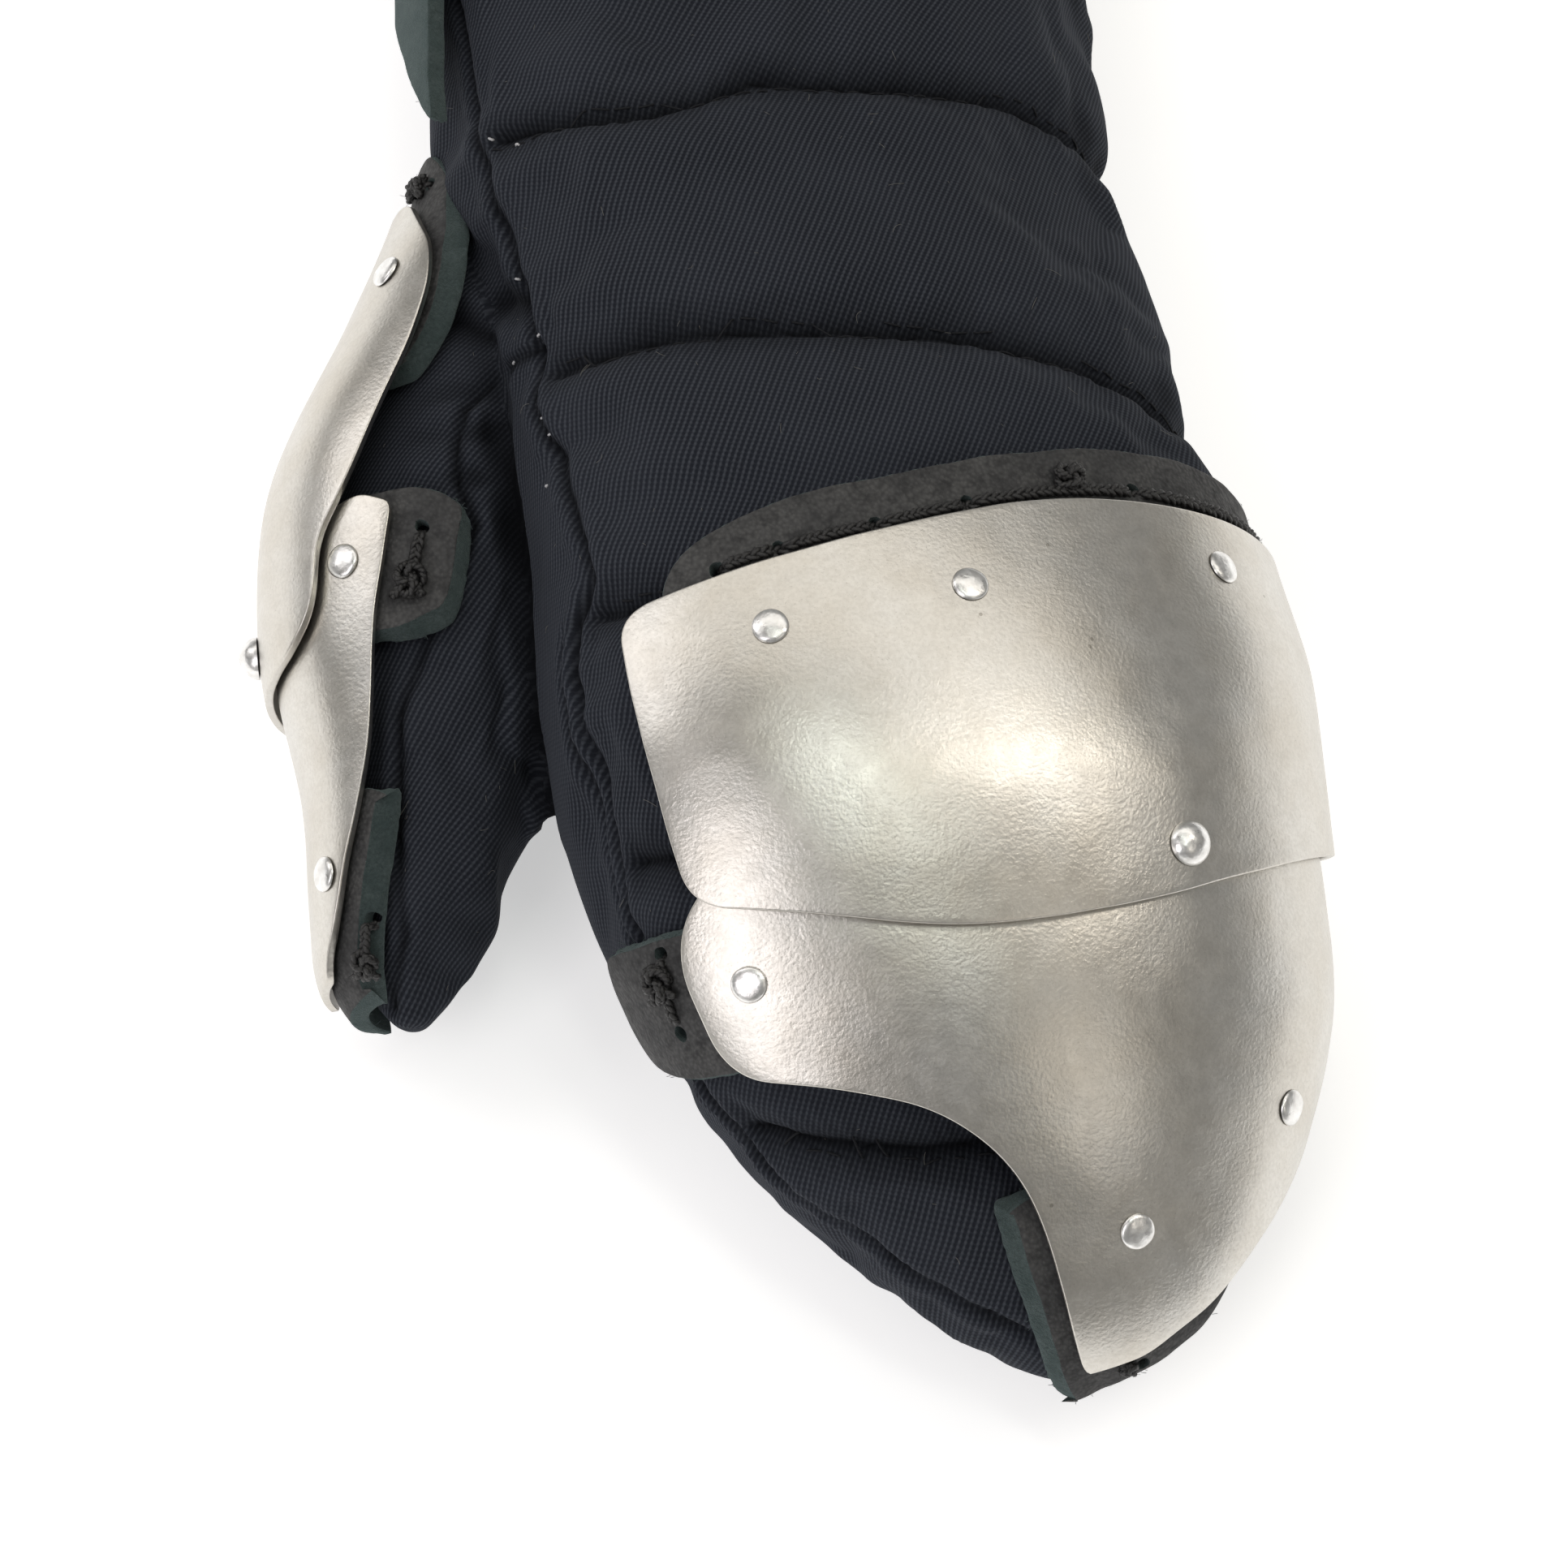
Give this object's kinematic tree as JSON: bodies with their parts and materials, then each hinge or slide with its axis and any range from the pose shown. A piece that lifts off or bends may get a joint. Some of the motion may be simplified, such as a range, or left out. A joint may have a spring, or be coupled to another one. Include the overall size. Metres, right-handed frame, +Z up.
{
  "type": "armoured mitten gauntlet",
  "caption": "Left-hand padded fabric mitten with overlapping riveted steel plates on the hand and thumb, laced on by leather tabs.",
  "frame": {"origin": "on the floor under the middle of the whole gauntlet, as it lies palm down", "axes": "+Y from the fingertips to the open cuff, +X to the little-finger side, +Z up, out of the back of the hand"},
  "size_m": [0.1932, 0.3308, 0.1],
  "materials": {
    "cotton_twill": "quilted black cotton twill, matt",
    "satin_steel": "tumbled satin with soft highlights",
    "rivet_steel": "smooth satin, domed",
    "black_leather": "matt black grain with rough grey-green cut edges",
    "black_cord": "braided cotton cord"
  },
  "bodies": {
    "root": {"padded_mitten": "cotton_twill", "knuckle_plate": "satin_steel", "finger_plate": "satin_steel", "thumb_upper_plate": "satin_steel", "thumb_tip_plate": "satin_steel", "knuckle_yoke": "black_leather", "index_tab": "black_leather", "little_finger_tab": "black_leather", "fingertip_leather": "black_leather", "thumb_yoke": "black_leather", "thumb_tab_front": "black_leather", "thumb_tab_back": "black_leather", "thumb_tip_leather": "black_leather", "cuff_tab": "black_leather", "yoke_rivet_1": "rivet_steel", "yoke_rivet_2": "rivet_steel", "yoke_rivet_3": "rivet_steel", "yoke_rivet_4": "rivet_steel", "finger_pivot": "rivet_steel", "index_tab_rivet": "rivet_steel", "little_finger_tab_rivet": "rivet_steel", "fingertip_rivet": "rivet_steel", "thumb_yoke_rivet_1": "rivet_steel", "thumb_yoke_rivet_2": "rivet_steel", "thumb_pivot": "rivet_steel", "thumb_tab_rivet_front": "rivet_steel", "thumb_tab_rivet_back": "rivet_steel", "thumb_tip_rivet_front": "rivet_steel", "thumb_tip_rivet_back": "rivet_steel", "yoke_lace": "black_cord", "index_tie": "black_cord", "little_finger_tie": "black_cord", "fingertip_tie": "black_cord", "thumb_yoke_tie": "black_cord", "thumb_tab_tie_front": "black_cord", "thumb_tab_tie_back": "black_cord", "thumb_tip_tie": "black_cord"}
  },
  "joints": []
}
